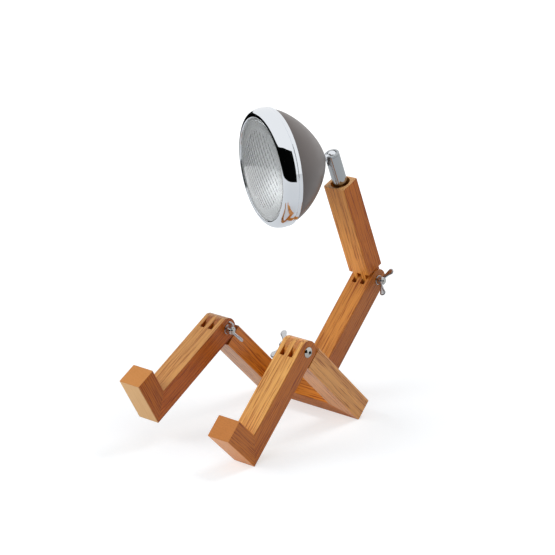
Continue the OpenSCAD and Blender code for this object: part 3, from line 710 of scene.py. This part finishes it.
def smooth_through(points, first, last, count):
    """The stretch of a profile from first to last, redrawn as cubic pieces through its points; the slope
    at each point is half the step between the points beside it."""
    pieces = []
    for k in range(first, last):
        a, b, c, d = (points[min(max(j, first), last)] for j in (k - 1, k, k + 1, k + 2))
        t = np.linspace(0, 1, count, endpoint=False)[:, None]
        square, cube = 2 * a - 5 * b + 4 * c - d, 3 * b - a - 3 * c + d
        pieces.append(0.5 * (2 * b + (c - a) * t + square * t ** 2 + cube * t ** 3))
    return np.concatenate([points[:first]] + pieces + [points[last:]])


face_last, face_steps = 10, 5
bezel_rows = smooth_through(bezel_points, 0, face_last, face_steps) + np.array([0, bezel_z])
surface(
    "bezel_ring_chromed", revolve(bezel_rows, 256), head, chrome, "bezel_ring", "lamp_head",
    smooth_angle=32)

# Lens
# Pressed clear glass: smooth outside, and a lattice of small pillows on the inside that
# spreads the light; a plain band is left at the rim.
glass, tree, shader = material("pressed_glass", Base_Color=linear("#F8FAFA"), Roughness=0.07, IOR=1.5)
# the real pattern has finer parts than the modelled one: a share of scattered light stands for them
shader.inputs["Transmission Weight"].default_value = 0.88
shader.inputs["Specular IOR Level"].default_value = 0.25
seat_z, lens_r, view_r, lens_t, lens_rise = 16.0, 61.5, 58.8, 3.6, 6.0
pattern_r, pattern_fade, pillow_depth, diamond_w, diamond_h = 46.0, 5.0, 0.22, 9.3, 8.5
hollow, step_r, step_h = 0.35, 54.6, 2.0


def lens_grid():
    """Rows from the middle of the inside, out to the rim, over the edge and back to the middle of the
    dome. The inside follows the dome, plus two sine waves with their lower halves turned up, one
    slanting each way, so that creases between small pillows make diamonds 9.3 mm wide and 8.5 mm high."""
    columns = 480
    angle = np.arange(columns) * 2 * np.pi / columns
    radius = np.linspace(0, pattern_r, 100)[:, None]
    x, y = radius * np.cos(angle), radius * np.sin(angle)
    one_way, other_way = x / diamond_w + y / diamond_h, x / diamond_w - y / diamond_h
    lattice = np.abs(np.sin(np.pi * one_way)) + np.abs(np.sin(np.pi * other_way))
    fade = np.clip((pattern_r - radius) / pattern_fade, 0, 1)
    domed = lens_rise * (1 - (radius / view_r) ** 2) + hollow
    low = np.stack([x, y, domed - pillow_depth * lattice * fade], -1)
    dome_r = view_r - 0.2
    edge = revolve(
        [(step_r, step_h), (step_r + 0.2, 0), (lens_r, 0), (lens_r, lens_t), (dome_r, lens_t)], columns)
    out = np.linspace(dome_r, 0, 30)[1:]
    dome = revolve(np.stack([out, lens_t + lens_rise * (1 - (out / dome_r) ** 2)], -1), columns)
    return np.concatenate([low, edge, dome]) + np.array([0, 0, bezel_z + seat_z])


surface(
    "lens_glass", lens_grid(), head, glass, "lens", "lamp_head", wrap=False, smooth_angle=8)

# Gasket
# A ring of pale grey silicone behind the glass, seen only through its plain rim.
silicone, tree, shader = material("grey_silicone", Base_Color=linear("#BDBFC0"), Roughness=0.55)
mottle(tree, shader, 300.0, 3.0, 0.45, 0.65)
dress("lens_gasket", silicone)

# Reflector
# Pressed aluminium with a soft shine: a parabola with an open middle for the light source.
mirror, tree, shader = material(
    "polished_aluminium", Base_Color=linear("#D0D1D3"), Metallic=1.0, Roughness=0.5)
where = add(tree, "ShaderNodeTexCoord")
waves = add(tree, "ShaderNodeTexNoise", {"Vector": where.outputs["Object"], "Scale": 160.0, "Detail": 2.0})
uneven = add(tree, "ShaderNodeBump", {"Height": waves.outputs[0], "Strength": 0.15, "Distance": 0.4 * MM})
tree.links.new(uneven.outputs[0], shader.inputs["Normal"])
mirror_r, mirror_hole, mirror_focal, mirror_wall, mirror_rim = 60, 17, 22, 0.8, 64.2
r = np.linspace(mirror_hole, mirror_r, 40)
parabola = collar_top - (mirror_r ** 2 - r ** 2) / (4 * mirror_focal)
mirror_rows = np.concatenate([
    np.stack([r, parabola + mirror_wall], -1),
    [(mirror_rim, collar_top + mirror_wall), (mirror_rim, collar_top)],
    np.stack([r, parabola], -1)[::-1],
]) + np.array([0, bezel_z])
surface(
    "reflector_polished", revolve(mirror_rows, 160), head, mirror, "reflector",
    "lamp_head")

# Heat sink and light source
# Turned aluminium with cooling grooves; on it a round board with a dome, both phosphor yellow.
turned_alu, tree, shader = material(
    "turned_aluminium", Base_Color=linear("#A9ABAE"), Metallic=1.0, Roughness=0.35)
mottle(tree, shader, 500.0, 2.0, 0.28, 0.42)
dress("heat_sink", turned_alu)
phosphor, tree, shader = material("yellow_phosphor", Base_Color=linear("#E5D04A"), Roughness=0.45)
where = add(tree, "ShaderNodeTexCoord")
powder = add(tree, "ShaderNodeTexNoise", {"Vector": where.outputs["Object"], "Scale": 3000.0})
grainy = add(
    tree, "ShaderNodeMix", {"Factor": powder.outputs[0], "A": linear("#EAD75A"), "B": linear("#D8BE38")},
    data_type="RGBA")
tree.links.new(grainy.outputs["Result"], shader.inputs["Base Color"])
dress("led_module", phosphor)

# Cord grommet
# Moulded black rubber, snapped into the back of the bowl; its hole is empty.
rubber, tree, shader = material("black_rubber", Base_Color=linear("#161616"), Roughness=0.7)
mottle(tree, shader, 300.0, 3.0, 0.6, 0.8)
dress("cord_grommet", rubber)
